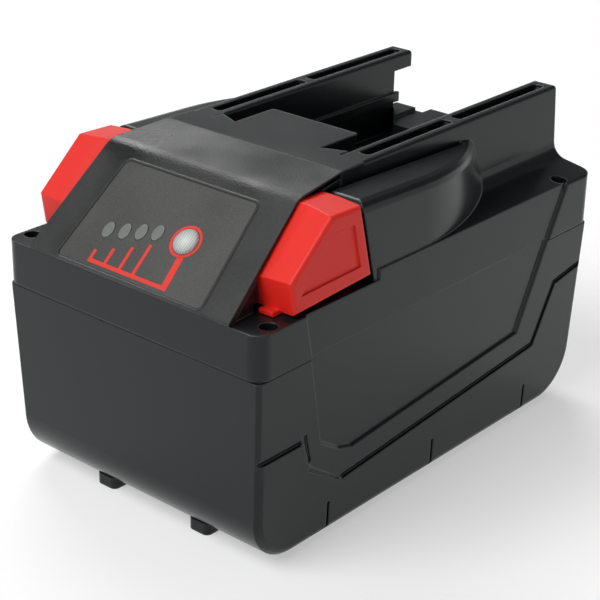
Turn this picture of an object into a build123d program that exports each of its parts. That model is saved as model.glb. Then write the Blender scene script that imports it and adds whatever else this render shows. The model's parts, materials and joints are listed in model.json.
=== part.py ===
from build123d import *
import math
import os

os.makedirs("parts", exist_ok=True)

# A slide-on battery pack for power tools: two rows of cylindrical cells lie across a drafted
# tub, and a cover with two rails, a sloped gauge panel and two squeeze buttons closes it.
# Lengths are millimetres and angles are degrees. While a piece is made, x runs to the right,
# y is the distance behind the front face and z is the height above the seam between tub and
# cover. The function save moves it so that the origin is under the centre of the base.

# Cells, which set the size of the whole pack
cell_diameter = 18.1
cell_length = 65.0
cell_gap = 0.1
cells_per_row = 7
cell_rows = 2
cell_nub_radius = 4.0
cell_nub_height = 1.0
cell_nub_sides = 12

# Clearances, used wherever pieces meet
seat_gap = 0.1
slide_gap = 0.4
overrun = 2.0

# What stands between the cells and the outside
cell_end_clearance = 0.22
cradle_height = 2.3
board_room = 9.15
plate_thickness = 1.5
insulator_thickness = 0.3
rib_depth = 2.87
rib_width = 1.6
end_wall = 1.7
side_wall = 2.9
floor_wall = 2.4
seam_step = 0.3
end_draft = 1.75
side_draft = 2.0
plan_corner = 3.7
base_end_round = 13.6
edge_bevels = (1.3, 0.55)
reveal_height = 0.4
reveal_depth = 0.8

# Feet and the notches along the bottom side edges
foot_height = 1.0
foot_width = 6.5
foot_length = 12.0
foot_round = 1.5
foot_root = 2.0
foot_spread = 32.0
foot_inset = 7.0
pocket_length = 6.4
pocket_rise = 8.5
pocket_depth = 1.2
pocket_notch_rise = 1.7
pocket_slot_width = 1.0
pocket_pitch = 41.5
pocket_shift = 1.1
pocket_count = 3

# Relief on the sides: a sunk field, a panel sunk further into it, and grooves round both
panel_depth = 0.84
panel_bevel = 40.0
groove_width = 1.3
groove_depth = 0.9
crease_width = 0.6
crease_depth = 0.35

# Screws that hold the cover, and their bosses
screw_side_inset = 3.0
screw_front = 6.3
screw_rear_inset = 12.4
screw_hole = 4.4
screw_head = 4.0
screw_head_height = 1.8
screw_seat_rise = 5.0
screw_shank = 2.6
screw_shank_clearance = 0.3
screw_length = 11.0
boss_radius = 3.3
boss_depth = 7.5

# Cover heights above the seam, and its walls
front_deck_rise = 11.2
rear_deck_rise = 13.7
hood_rise = 34.7
channel_rise = 13.0
cover_wall = 2.2
deck_wall = 2.0
cavity_rise = 8.0
tower_foot_rise = 15.8
tower_foot_round = 4.5
tower_draft = 3.2

# Hood: the sloped front with its crest, and the short ramp behind it
hood_front_rise = 11.87
slope_angle = 40.25
ramp_angle = 4.0
crest_round = 6.0
crease_back = 43.0
hood_half_front = 32.5
hood_half_crest = 30.2
hood_half_crease = 28.2
hood_wall = 1.8
hood_side_inset = 0.5
hood_rear_wall = 51.5
bezel_thickness = 1.8
bezel_edge = 0.5
bezel_edge_width = 5.6
bezel_foot_gap = 0.1
bezel_foot_round = 0.4
crease_gap = 0.15

# Rails with their top slots
rail_outer = 27.8
rail_inner = 20.3
rail_edge_round = 0.9
slot_width = 3.4
slot_front = 56.0
slot_bridge_inset = 42.4
slot_bridge_width = 2.6
slot_rear_inset = 2.4
slot_floor_rise = 17.0
slot_pin_radius = 0.8
slot_pin_drop = 1.0
notch_depth = 8.2
notch_roof_rise = 30.3
overhang_inset = 0.6
wall_rib_rise = 21.5
wall_rib_height = 2.7
wall_rib_depth = 0.8
wall_rib_front = 70.0
wall_rib_rear_inset = 6.8

# Top plate with the tongue over the terminals
plate_rear = 54.9
plate_notch_front = 52.3
tongue_rear = 66.7
tongue_half = 13.9
tongue_thickness = 2.3
tongue_round = 0.8

# Rear shelf of the channel
shelf_front_inset = 17.7
shelf_front_half = 12.6
shelf_corner_length = 9.7
shelf_side_rise = 19.8
shelf_step = 0.9
shelf_step_half = 15.5
shelf_rear_inset = 4.0
shelf_centre_half = 13.0

# Fairings behind the buttons, which flare out to the deck, with the valley beside each rail
fairing_inset = 1.34
fairing_straight_end = 61.0
fairing_tail_radius = 57.8
fairing_foot_radius = 78.7
fairing_edge_round = 2.6
round_steps = 3
fairing_front_rise = 31.9
fairing_rear_rise = 30.0
fairing_rear = 94.0
fairing_gap = 0.95
fairing_round = 1.6
valley_width = 2.0
valley_depth = 5.0
valley_rear = 90.0

# Release buttons: a shell whose outline is given in shares, and how it moves
button_front = 11.0
button_length = 28.5
button_base_rise = 12.2
button_height = 20.0
button_side_inset = 0.54
button_bevel_half = 33.9
button_full_half = 29.0
button_under_half = 27.6
button_end_half = 26.6
button_wall = 1.6
button_face_wall = 2.0
button_round = 0.9
button_inset_depth = 0.5
button_travel = 2.6
button_lip_reach = 1.0
button_lip_height = 0.8
button_lip_top = 0.3
button_lip_half = 36.5
window_gap = 0.5

# Latch arms: an upright behind each button, a cross plate, a rear bar and a hook
arm_thickness = 2.5
arm_low_rise = 1.6
arm_level_step = 3.1
arm_foot_front = 20.0
arm_foot_rear = 29.0
arm_upright_inset = 1.0
arm_cross_width = 7.0
arm_cross_end = 18.2
arm_bar_width = 3.6
arm_shift_back = 52.0
hook_rear_inset = 41.0
hook_length = 5.0
hook_outer = 22.0
hook_thickness = 1.7
hook_tooth = 1.9
hook_rise = 21.0
hook_tooth_height = 3.4
arm_peg = 4.0
arm_peg_length = 3.5

# Return springs and the frame that carries them
spring_back = 31.0
spring_centre_rise = 18.0
spring_radius = 2.9
spring_wire = 0.8
spring_turns = 6
spring_runs = 8
spring_sides = 6
spring_peg_radius = 1.8
spring_peg_length = 3.0
frame_web_half = 4.5
frame_web_length = 8.0
frame_web_low = 13.0
frame_flange_low = 25.5
frame_flange_thickness = 2.5
frame_flange_half = 16.0
frame_screw_spread = 24.0
frame_boss_radius = 2.6
small_screw_head = 3.8
small_screw_head_height = 1.4
small_screw_shank = 2.0
small_screw_length = 5.0
small_screw_pilot = 2.1
shank_sides = 8

# Gauge: label, lenses and button on the slope, with the board under them
label_foot = 0.68
label_length = 28.39
label_half_foot = 23.23
label_half_head = 21.0
label_round = 1.3
label_thickness = 0.4
label_bead_gap = 0.25
label_bead_width = 0.45
label_bead_height = 0.2
lens_width = 3.0
lens_length = 4.3
lens_proud = 0.1
lens_led_gap = 0.3
gauge_button_radius = 3.4
gauge_button_back_share = 0.490
gauge_button_side_share = 0.383
gauge_button_proud = 0.5
gauge_button_edge = 0.4
gauge_button_skirt = 0.9
gauge_button_skirt_height = 0.7
gauge_button_travel = 0.5
gauge_hole_gap = 0.12
gauge_board_depth = 7.5
gauge_board_thickness = 1.6
gauge_board_half = 20.0
gauge_board_foot = 4.0
gauge_board_length = 22.0
gauge_window_margin = 1.0
gauge_post_spread = 34.0
gauge_post_radius = 1.9
led_height = 1.2
led_width = 1.6
switch_width = 6.0
switch_height = 3.1
plunger_radius = 1.6
plunger_depth = 1.6

# Cell holders, strips and insulators
holder_flange = 6.0
holder_flange_thickness = 2.2
holder_rise_below_seam = 6.5
pillar_length = 8.0
strip_thickness = 0.2
strip_margin = 2.4
strip_corner_share = 0.26519
strip_tab_width = 4.0
window_margin = 0.4

# Main board with its parts
board_thickness = 1.6
board_front = 36.0
board_rear_inset = 14.0
chip_height = 2.2
chip_gap = 7.457
transistor_height = 2.6
thermistor_radius = 1.2
cable_width = 8.0
cable_thickness = 0.3
cable_half_start = 6.0

# Terminal block under the tongue, with its contacts
block_front = 56.5
block_rear = 66.0
block_half = 13.2
block_stem_half = 12.4
block_slot_width = 2.4
block_slot_pitch = 5.0
block_slot_count = 5
block_slot_floor = 16.0
contact_thickness = 0.5
contact_top_gap = 1.5
block_back_wall = 1.5

# Outlines in shares of the piece that they belong to
panel_shares = [(0.117, 0.289), (0.178, -0.480), (0.226, -0.559), (0.263, -0.588),
                (0.775, -0.470), (0.854, 0.013), (0.910, 0.289)]
field_shares = [(-0.030, 0.048), (-0.030, -0.421), (0.123, -0.421), (0.144, -0.570), (0.233, -0.734),
                (0.835, -0.601), (0.895, -0.284), (1.030, -0.228), (1.030, 0.048)]
groove_shares = [[(0.000, -0.421), (0.118, -0.421)],
                 [(0.128, -0.389), (0.144, -0.550)],
                 [(0.236, -0.736), (0.835, -0.601), (0.895, -0.284), (0.986, -0.243)]]
crease_shares = [(0.141, -0.588), (0.227, -0.732)]
button_face_shares = [(0.042, 0.0), (1.0, 0.070), (0.833, 0.985), (0.470, 1.0), (0.0, 0.405)]
button_bevel_shares = [0, 0.018, 0.025, -0.018, 0]
button_full_shares = [0, 0.018, 0.022, -0.040, 0]
button_under_shares = [0, -0.040, -0.155, -0.155, 0]
button_inset_shares = [(0.751, 0.795), (0.849, 0.240), (0.112, 0.210), (0.463, 0.795)]
lens_shares = [(-0.584, 0.356), (-0.381, 0.392), (-0.186, 0.435), (0.008, 0.478)]

# Sizes worked out from those above
cell_radius = cell_diameter / 2
cell_pitch = cell_diameter + cell_gap
row_length = (cells_per_row - 1) * cell_pitch + cell_diameter
stack_height = (cell_rows - 1) * cell_pitch + cell_diameter
lean_end = math.tan(math.radians(end_draft))
lean_side = math.tan(math.radians(side_draft))
cradle_rise = cradle_height + seat_gap
lower_height = floor_wall + cradle_rise + stack_height + board_room
low_cell_depth = lower_height - floor_wall - cradle_rise - cell_radius
body_length = row_length + 2 * (cell_end_clearance + end_wall + low_cell_depth * lean_end)
pack_length = body_length + 2 * seam_step
holder_outer = cell_length / 2 + plate_thickness
rib_face = holder_outer + insulator_thickness + 2 * seat_gap
inner_end_round = base_end_round - end_wall
half_width = rib_face + rib_depth + side_wall + low_cell_depth * lean_side
pack_width = 2 * half_width
middle = pack_length / 2
cell_first = middle - (cells_per_row - 1) / 2 * cell_pitch
cell_top = -board_room
low_cell_rise = cell_top - stack_height + cell_radius

slope_tan = math.tan(math.radians(slope_angle))
slope_cos = math.cos(math.radians(slope_angle))
slope_sin = math.sin(math.radians(slope_angle))
ramp_tan = math.tan(math.radians(ramp_angle))
ramp_cos = math.cos(math.radians(ramp_angle))
slope = Plane(origin=(0, 0, hood_front_rise), x_dir=(1, 0, 0), z_dir=(0, -slope_sin, slope_cos))

rail_middle = (rail_inner + rail_outer) / 2
screw_side = half_width - screw_side_inset
screw_places = [(side * screw_side, back) for side in (-1, 1)
                for back in (screw_front, pack_length - screw_rear_inset)]
button_half = half_width - button_side_inset
fairing_half = half_width - fairing_inset
shelf_front = pack_length - shelf_front_inset
slot_bridge = pack_length - slot_bridge_inset
hook_back = pack_length - hook_rear_inset
gauge_button_side = gauge_button_side_share * label_half_foot
gauge_button_back = label_foot + gauge_button_back_share * label_length
board_top = -holder_rise_below_seam + board_thickness
board_rear = pack_length - board_rear_inset
upright_half = button_end_half - seat_gap
spring_seat_half = upright_half - arm_thickness


# Small building blocks
def block(low, high):
    """A box between two corners."""
    size = [b - a for a, b in zip(low, high)]
    centre = [(a + b) / 2 for a, b in zip(low, high)]
    return Pos(*centre) * Box(*size)


def outline(points, radii=0):
    """A flat face with the given corners, rounded by one radius or by a list of them."""
    if not isinstance(radii, (list, tuple)):
        radii = [radii] * len(points)
    return make_face(FilletPolyline(*points, radius=radii, close=True))


def across(face, low_x, high_x):
    """Extrude an outline of (y, z) points along x."""
    return extrude(Plane.YZ.offset(low_x) * face, high_x - low_x)


def along(face, low_y, high_y):
    """Extrude an outline of (x, z) points along y."""
    return extrude(Plane.XZ.offset(-high_y) * face, high_y - low_y)


def upward(face, low_z, high_z):
    """Extrude an outline of (x, y) points along z."""
    return extrude(Plane.XY.offset(low_z) * face, high_z - low_z)


def on_slope(face, low, high):
    """Extrude an outline of (x, distance up the slope) points square to the gauge slope."""
    return extrude(slope.offset(low) * face, high - low)


def post(radius, x, y, low_z, high_z):
    """An upright cylinder between two heights."""
    return Pos(x, y, (low_z + high_z) / 2) * Cylinder(radius, high_z - low_z)


def shank(radius):
    """The section of a hidden screw's shank, with few sides."""
    return RegularPolygon(radius, shank_sides)


def both_sides(shape):
    return shape + mirror(shape, about=Plane.YZ)


def grown(face, amount):
    return offset(face, amount=amount, kind=Kind.INTERSECTION)


def shared(shares, start, length, base, height):
    """Turn shares of a piece's length and height into points."""
    return [(start + length * u, base + height * v) for u, v in shares]


def moved_edges(points, moves):
    """Corners of an outline whose edges are each moved outward by a distance of their own."""
    lines = []
    for index, (y, z) in enumerate(points):
        next_y, next_z = points[(index + 1) % len(points)]
        length = math.hypot(next_y - y, next_z - z)
        run, rise = (next_y - y) / length, (next_z - z) / length
        lines.append((rise, -run, rise * y - run * z + moves[index]))
    corners = []
    for index, (a, b, c) in enumerate(lines):
        before_a, before_b, before_c = lines[index - 1]
        cross = before_a * b - a * before_b
        corners.append(((before_c * b - c * before_b) / cross, (before_a * c - a * before_c) / cross))
    return corners


def save(name, shape):
    """Move a finished piece into the pack's frame and write it."""
    placed = Pos(0, -middle, lower_height + foot_height) * shape
    placed.label = name
    export_step(placed, f"parts/{name}.step")


# Tub that holds the cells
def tub(inset, floor_rise, end_round, bevels=()):
    """The drafted form of the lower housing, drawn in by an inset at the sides and ends. Its
    bevels run down the upright edges, round the ends and along the bottom side edges."""
    side_inset, end_inset = inset
    half_x = half_width - side_inset
    half_y = body_length / 2 - end_inset
    depth = lower_height - floor_rise
    low_x = half_x - depth * lean_side
    low_y = half_y - depth * lean_end
    ends = outline([(middle - half_y, 0), (middle + half_y, 0),
                    (middle + low_y, -depth), (middle - low_y, -depth)], [0, 0, end_round, end_round])
    sides = outline([(-half_x, 0), (half_x, 0), (low_x, -depth), (-low_x, -depth)])
    form = across(ends, -half_width, half_width) & along(sides, 0, pack_length)
    for size in bevels:
        flanks = form.faces().sort_by(Axis.X)
        edges = [edge for flank in (flanks[0], flanks[-1]) for edge in flank.edges()
                 if min((edge @ 0).Z, (edge @ 1).Z) < -seam_step]
        form = chamfer(edges, size)
    return form


def side_plane(leaning):
    """The plane of the right side, with u to the rear and v upwards along the side."""
    angle = math.radians(side_draft if leaning else 0)
    return Plane(origin=(half_width, 0, 0), x_dir=(0, 1, 0),
                 z_dir=(math.cos(angle), 0, -math.sin(angle)))


def side_cut(face, depth, leaning, bevel=0):
    """A cutter that sinks a face into the right side, and its mirror image on the left."""
    cutter = extrude(side_plane(leaning).offset(-depth) * face, depth + overrun, taper=-bevel)
    return both_sides(cutter)


def side_points(shares):
    return shared(shares, 0, pack_length, 0, lower_height)


def make_lower_housing():
    outer = tub((0, 0), 0, base_end_round, edge_bevels)
    inner = tub((side_wall, end_wall), floor_wall, inner_end_round)
    within = tub((side_wall / 2, end_wall / 2), floor_wall / 2, base_end_round - end_wall / 2)
    shell = outer - inner
    inside = None
    for index in range(0, cells_per_row, 2):
        y = cell_first + index * cell_pitch
        rib = block((rib_face, y - rib_width / 2, -lower_height),
                    (half_width, y + rib_width / 2, cell_top))
        inside = both_sides(rib) if inside is None else inside + both_sides(rib)
    for x in (-cell_length / 3, 0, cell_length / 3):
        inside += block((x - rib_width / 2, 0, -lower_height),
                        (x + rib_width / 2, pack_length, -lower_height + floor_wall + cradle_height))
    for x, y in screw_places:
        inside += post(boss_radius, x, y, -boss_depth, 0)
    shell = shell + (inside & within)
    for x, y in screw_places:
        shell -= post((screw_shank - screw_shank_clearance) / 2, x, y,
                      -boss_depth + floor_wall / 2, overrun)
    shell -= side_cut(outline(side_points(field_shares)), seam_step, True)
    shell -= side_cut(outline(side_points(panel_shares)), seam_step + panel_depth, True, panel_bevel)
    for groove in groove_shares:
        shell -= side_cut(trace(Polyline(*side_points(groove)), groove_width), groove_depth, True)
    shell -= side_cut(trace(Polyline(*side_points(crease_shares)), crease_width), crease_depth, True)
    return shell - seam_reveal() - bottom_pockets() + feet()


def seam_reveal():
    """The shadow line round the tub's top edge."""
    core = Pos(0, middle) * RectangleRounded(pack_width - 2 * reveal_depth,
                                             body_length - 2 * reveal_depth, edge_bevels[0])
    ring = Pos(0, middle) * Rectangle(pack_width + overrun, pack_length + overrun) - core
    return upward(ring, -reveal_height, 0)


def bottom_pockets():
    """Notches in the bottom side edges, each with a narrow upright slot at its rear end."""
    base_half = half_width - lower_height * lean_side
    pockets = None
    for index in range(pocket_count):
        y = middle - pocket_shift + (index - (pocket_count - 1) / 2) * pocket_pitch
        low, high = y - pocket_length / 2, y + pocket_length / 2
        notch = block((base_half - pocket_depth, low, -lower_height - overrun),
                      (base_half + overrun, high, -lower_height + pocket_notch_rise))
        slot = block((base_half - pocket_depth, high - pocket_slot_width, -lower_height - overrun),
                     (base_half + overrun, high, -lower_height + pocket_rise))
        pocket = both_sides(notch + slot)
        pockets = pocket if pockets is None else pockets + pocket
    return pockets


def feet():
    pads = None
    for x in (-foot_spread / 2, foot_spread / 2):
        for y in (foot_inset + foot_length / 2, pack_length - foot_inset - foot_length / 2):
            pad = Pos(x, y) * RectangleRounded(foot_width, foot_length, foot_round)
            pad = upward(pad, -lower_height - foot_height, -lower_height + foot_root)
            pads = pad if pads is None else pads + pad
    return pads


# Hood lines, shared by the cover and the bezel
def hood_line(drop):
    """Front, crest and crease points (y, z) of the hood's surface, sunk squarely by a drop."""
    front = hood_front_rise - drop / slope_cos
    rear = hood_rise - drop / ramp_cos
    crest_y = (rear - crease_back * ramp_tan - front) / (slope_tan - ramp_tan)
    return [(0, front), (crest_y, front + crest_y * slope_tan), (crease_back, rear)]


def hood_plan(inset, rear):
    """The hood's outline from above, drawn in by an inset, open to the rear."""
    crest_y = hood_line(0)[1][0]
    right = [(hood_half_front - inset, 0), (hood_half_crest - inset, crest_y),
             (hood_half_crease - inset, crease_back), (rail_outer - inset, rear)]
    left = [(-x, y) for x, y in reversed(right)]
    return outline(right + left)


def hood_body(drop, inset, front, rear):
    """A solid under the hood's surface, from a wall's inner side at the front to the rear."""
    points = hood_line(drop)
    start = (front, points[0][1] + front * slope_tan)
    side = outline([(front, 0), start, points[1], points[2], (rear, points[2][1]), (rear, 0)],
                   [0, 0, crest_round - drop / 2, 0, 0, 0])
    return across(side, -half_width, half_width) & upward(hood_plan(inset, rear), 0, hood_rise)


def label_outline(growth):
    head = label_foot + label_length
    face = outline([(-label_half_foot, label_foot), (label_half_foot, label_foot),
                    (label_half_head, head), (-label_half_head, head)], label_round)
    return grown(face, growth) if growth else face


def lens_outline(margin):
    """An oval of four arcs."""
    x, y = lens_width / 2 + margin, lens_length / 2 + margin
    side, end = x * math.sqrt(1 / 2), y * math.sqrt(1 / 2)
    arcs = (ThreePointArc((side, -end), (x, 0), (side, end)),
            ThreePointArc((side, end), (0, y), (-side, end)),
            ThreePointArc((-side, end), (-x, 0), (-side, -end)),
            ThreePointArc((-side, -end), (0, -y), (side, -end)))
    return make_face(Wire(arcs))


def gauge_holes(margin):
    """Outlines of the four oval lenses and the gauge button, grown by a margin."""
    holes = None
    for x, y in shared(lens_shares, 0, label_half_foot, label_foot, label_length):
        hole = Pos(x, y) * lens_outline(margin)
        holes = hole if holes is None else holes + hole
    return holes + Pos(gauge_button_side, gauge_button_back) * Circle(gauge_button_radius + margin)


# Cover with rails
def rear_section():
    """Half of the cover's section behind the hood: deck, tower and channel floor."""
    lean = (hood_rise - tower_foot_rise) * math.tan(math.radians(tower_draft))
    return outline([(0, 0), (half_width, 0), (half_width, rear_deck_rise),
                    (rail_outer + lean, tower_foot_rise), (rail_outer, hood_rise),
                    (rail_inner, hood_rise), (rail_inner, channel_rise), (0, channel_rise)],
                   [0, 0, rail_edge_round, tower_foot_round, rail_edge_round, rail_edge_round, 0, 0])


def fairing_plan(inset, tail_radius, inner):
    """The fairing from above: straight beside the button, then a long curved tail."""
    centre_x = fairing_half - tail_radius
    radius = tail_radius - inset
    end = math.acos((inner - centre_x) / radius)
    tail = [(centre_x + radius * math.cos(a), fairing_straight_end + radius * math.sin(a))
            for a in (0, end / 2, end)]
    front = button_front
    lines = Polyline(tail[2], (inner, front), (fairing_half - inset, front), tail[0])
    return make_face(lines + ThreePointArc(*tail))


def fairing_line(inset):
    """The front's foot and head, and how steeply the top falls towards the rear."""
    lower, upper = button_points(button_face_shares)[1:3]
    slant = (upper[0] - lower[0]) / (upper[1] - lower[1])
    gap = fairing_gap + button_height * button_bevel_shares[1] + inset
    foot = lower[0] + gap + (0 - lower[1]) * slant
    head = lower[0] + gap + (fairing_front_rise - inset - lower[1]) * slant
    return foot, head, (fairing_front_rise - fairing_rear_rise) / (fairing_rear - head)


def fairing_side(inset):
    """The fairing from the side: its front lies parallel to the button's rear edge."""
    foot, head, fall = fairing_line(inset)
    tail_end = crease_back + fairing_rear
    top = fairing_front_rise - inset
    return outline([(foot, 0), (head, top), (tail_end, top - (tail_end - head) * fall),
                    (tail_end, 0)], [0, fairing_round, 0, 0])


def make_fairing():
    """The right fairing, with a rounded top edge and a tail that flares out to the deck."""
    _, head, fall = fairing_line(0)
    plan = fairing_plan(0, fairing_foot_radius, rail_outer)
    sections = [(Plane.XY.offset(rear_deck_rise) * plan).face()]
    for index in range(round_steps + 1):
        turn = math.pi / 2 * index / round_steps
        rise = fairing_front_rise + head * fall - fairing_edge_round * (1 - math.sin(turn))
        level = Plane(origin=(0, 0, rise), x_dir=(1, 0, 0), z_dir=(0, fall, 1))
        face = fairing_plan(fairing_edge_round * (1 - math.cos(turn)), fairing_tail_radius, rail_outer)
        sections.append((level * face).face())
    form = loft(sections, ruled=True) + upward(plan, front_deck_rise - deck_wall / 2, rear_deck_rise)
    return form & across(fairing_side(0), 0, half_width)


def fairing_room(inset):
    """What is hollow inside the right fairing."""
    plan = fairing_plan(inset, fairing_tail_radius, rail_outer + inset)
    return upward(plan, 0, hood_rise) & across(fairing_side(inset), 0, half_width)


def button_points(shares):
    return shared(shares, button_front, button_length, button_base_rise, button_height)


def button_outline(move_shares, part=1, inset=0):
    """The button's outline, with each edge moved by its share of the height, less an inset."""
    moves = [part * button_height * share - inset for share in move_shares]
    return outline(moved_edges(button_points(button_face_shares), moves))


def button_window():
    """The opening in the hood's right side for the button, its arm and its lip."""
    face = grown(button_outline(button_bevel_shares), window_gap)
    low = spring_seat_half - button_travel - slide_gap
    opening = across(face, low, half_width)
    sill = block((low, button_front - button_lip_reach - window_gap, front_deck_rise),
                 (half_width, button_front + button_length,
                  button_base_rise + button_lip_top + window_gap))
    return opening + sill


def make_top_plate():
    """The plate behind the crease, with the tongue and the notches beside it."""
    points = [(rail_inner, crease_back), (rail_inner, plate_rear), (tongue_half, plate_notch_front),
              (tongue_half, tongue_rear), (-tongue_half, tongue_rear),
              (-tongue_half, plate_notch_front), (-rail_inner, plate_rear), (-rail_inner, crease_back)]
    radii = [0, 0, 0, tongue_round, tongue_round, 0, 0, 0]
    return upward(outline(points, radii), hood_rise - tongue_thickness, hood_rise)


def rail_slots():
    rear = pack_length - slot_rear_inset
    runs = [(slot_front, slot_bridge - slot_bridge_width / 2),
            (slot_bridge + slot_bridge_width / 2, rear)]
    slots = None
    for low, high in runs:
        face = RectangleRounded(slot_width, high - low, slot_width / 3)
        slot = upward(Pos(rail_middle, (low + high) / 2) * face, slot_floor_rise, hood_rise + overrun)
        slot -= post(slot_pin_radius, rail_middle, high - slot_pin_radius / 2, slot_floor_rise,
                     hood_rise - slot_pin_drop)
        slots = slot if slots is None else slots + slot
    return both_sides(slots)


def rear_shelf():
    """The raised floor at the rear of the channel, lower in its middle, with slanted corners."""
    rear = pack_length - shelf_rear_inset
    corner = shelf_front + shelf_corner_length
    plan = outline([(-rail_inner, corner), (-shelf_front_half, shelf_front),
                    (shelf_front_half, shelf_front), (rail_inner, corner),
                    (rail_inner, rear), (-rail_inner, rear)])
    sides = upward(plan, cavity_rise, shelf_side_rise)
    step = block((-shelf_step_half, shelf_front - overrun, shelf_side_rise - shelf_step),
                 (shelf_step_half, rear + overrun, hood_rise))
    centre = block((-shelf_centre_half, corner, cavity_rise),
                   (shelf_centre_half, pack_length, shelf_side_rise - shelf_step))
    return sides - step + centre


def hook_slot(side):
    """Room for a hook in the channel's floor and in the foot of a rail."""
    outer = hook_outer + button_travel + slide_gap
    inner = hook_outer - hook_thickness - hook_tooth - slide_gap
    low_x, high_x = sorted((side * inner, side * outer))
    return block((low_x, hook_back - slide_gap, cavity_rise - overrun),
                 (high_x, hook_back + hook_length + slide_gap, hook_rise + slide_gap))


def cover_cavity():
    """What is hollow under the deck, the hood, the channel, the towers and the fairings."""
    base = Pos(0, middle) * RectangleRounded(pack_width - 2 * cover_wall,
                                             pack_length - 2 * cover_wall, plan_corner - cover_wall / 2)
    cavity = upward(base, -overrun, cavity_rise)
    drop = bezel_thickness + seat_gap + hood_wall
    hood = hood_body(drop, hood_side_inset + hood_wall, cover_wall, hood_rear_wall - hood_wall)
    rear = pack_length - cover_wall
    channel = block((-rail_inner, hood_rear_wall - hood_wall, 0),
                    (rail_inner, rear, channel_rise - deck_wall))
    shelf = block((-shelf_centre_half + deck_wall, shelf_front + deck_wall, 0),
                  (shelf_centre_half - deck_wall, rear, shelf_side_rise - shelf_step - deck_wall))
    tower = block((rail_inner + deck_wall, hood_rear_wall, 0),
                  (rail_outer - deck_wall / 2, rear, slot_floor_rise - deck_wall))
    return cavity + hood + channel + shelf + both_sides(tower + fairing_room(cover_wall))


def screw_columns():
    columns = None
    for x, y in screw_places:
        column = post(boss_radius, x, y, 0, front_deck_rise - deck_wall / 2)
        columns = column if columns is None else columns + column
    return columns


def screw_bores():
    bores = None
    for x, y in screw_places:
        bore = post(screw_hole / 2, x, y, screw_seat_rise, hood_rise)
        bore += post((screw_shank + screw_shank_clearance) / 2, x, y,
                     -overrun, screw_seat_rise + overrun)
        bores = bore if bores is None else bores + bore
    return bores


def make_upper_housing():
    plan = Pos(0, middle) * RectangleRounded(pack_width, pack_length, plan_corner)
    plan_form = upward(plan, 0, hood_rise)
    section = rear_section()
    rear = along(section, crease_back, pack_length)
    cover = both_sides(rear)
    cover += block((-half_width, 0, 0), (half_width, crease_back, front_deck_rise))
    cover += both_sides(make_fairing() - valley_cutter())
    cover = cover & plan_form
    cover += hood_body(bezel_thickness + seat_gap, hood_side_inset, 0, crease_back + crease_gap)
    cover += hood_body(0, 0, 0, plate_rear) & block((-half_width, crease_back + crease_gap, 0),
                                                    (half_width, hood_rear_wall, hood_rise))
    cover += make_top_plate()
    cover += rear_shelf() & plan_form
    columns = screw_columns() & plan_form
    cover = cover - cover_cavity() + columns
    boss_low = frame_flange_low + frame_flange_thickness + seat_gap
    boss_high = hood_line(bezel_thickness + seat_gap + hood_wall / 2)[1][1]
    cover += both_sides(post(frame_boss_radius, frame_screw_spread / 2, spring_back,
                             boss_low, boss_high))
    cover -= both_sides(button_window())
    cover -= rail_slots()
    cover -= screw_bores()
    cover -= hook_slot(-1) + hook_slot(1)
    cover -= rear_gaps()
    cover += both_sides(wall_rib())
    cover -= on_slope(gauge_window(), -gauge_board_depth, 0)
    cover -= terminal_opening()
    cover -= both_sides(post(small_screw_pilot / 2, frame_screw_spread / 2, spring_back, 0,
                             frame_flange_low + small_screw_length))
    cover -= side_cut(outline(side_points(panel_shares)), panel_depth, False, panel_bevel)
    return cover


def wall_rib():
    """A guide rib along the inner side of a rail."""
    return block((rail_inner - wall_rib_depth, wall_rib_front, wall_rib_rise),
                 (rail_inner + wall_rib_depth / 2, pack_length - wall_rib_rear_inset,
                  wall_rib_rise + wall_rib_height))


def valley_cutter():
    """The gap between the rail's outer side and the top of the fairing."""
    low = rail_outer
    return block((low, 0, fairing_front_rise - valley_depth),
                 (low + valley_width, valley_rear, hood_rise))


def rear_gaps():
    """Cut-outs at the rear: the left rail's through notch and the space behind the shelf."""
    notch_front = pack_length - notch_depth
    notch = block((-half_width, notch_front, shelf_side_rise),
                  (-shelf_step_half, pack_length + overrun, notch_roof_rise))
    trim = block((-rail_outer - overrun, pack_length - overhang_inset, shelf_side_rise),
                 (-rail_inner + overrun, pack_length + overrun, hood_rise + overrun))
    behind = block((shelf_centre_half, pack_length - shelf_rear_inset, channel_rise),
                   (rail_inner, pack_length + overrun, hood_rise + overrun))
    under = block((-half_width, pack_length - shelf_rear_inset, rear_deck_rise),
                  (-shelf_centre_half, pack_length + overrun, notch_roof_rise))
    return notch + trim + under + both_sides(behind)


def gauge_window():
    """The hole in the hood's skin under the gauge, from its foot to its head."""
    low = gauge_board_foot - gauge_window_margin
    high = gauge_board_foot + gauge_board_length + gauge_window_margin
    half = gauge_board_half + gauge_window_margin
    return outline([(-half, low), (half, low), (half, high), (-half, high)])


def terminal_opening():
    return block((-block_half - seat_gap, block_front - seat_gap, cavity_rise - overrun),
                 (block_half + seat_gap, block_rear + seat_gap, channel_rise + overrun))


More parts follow.
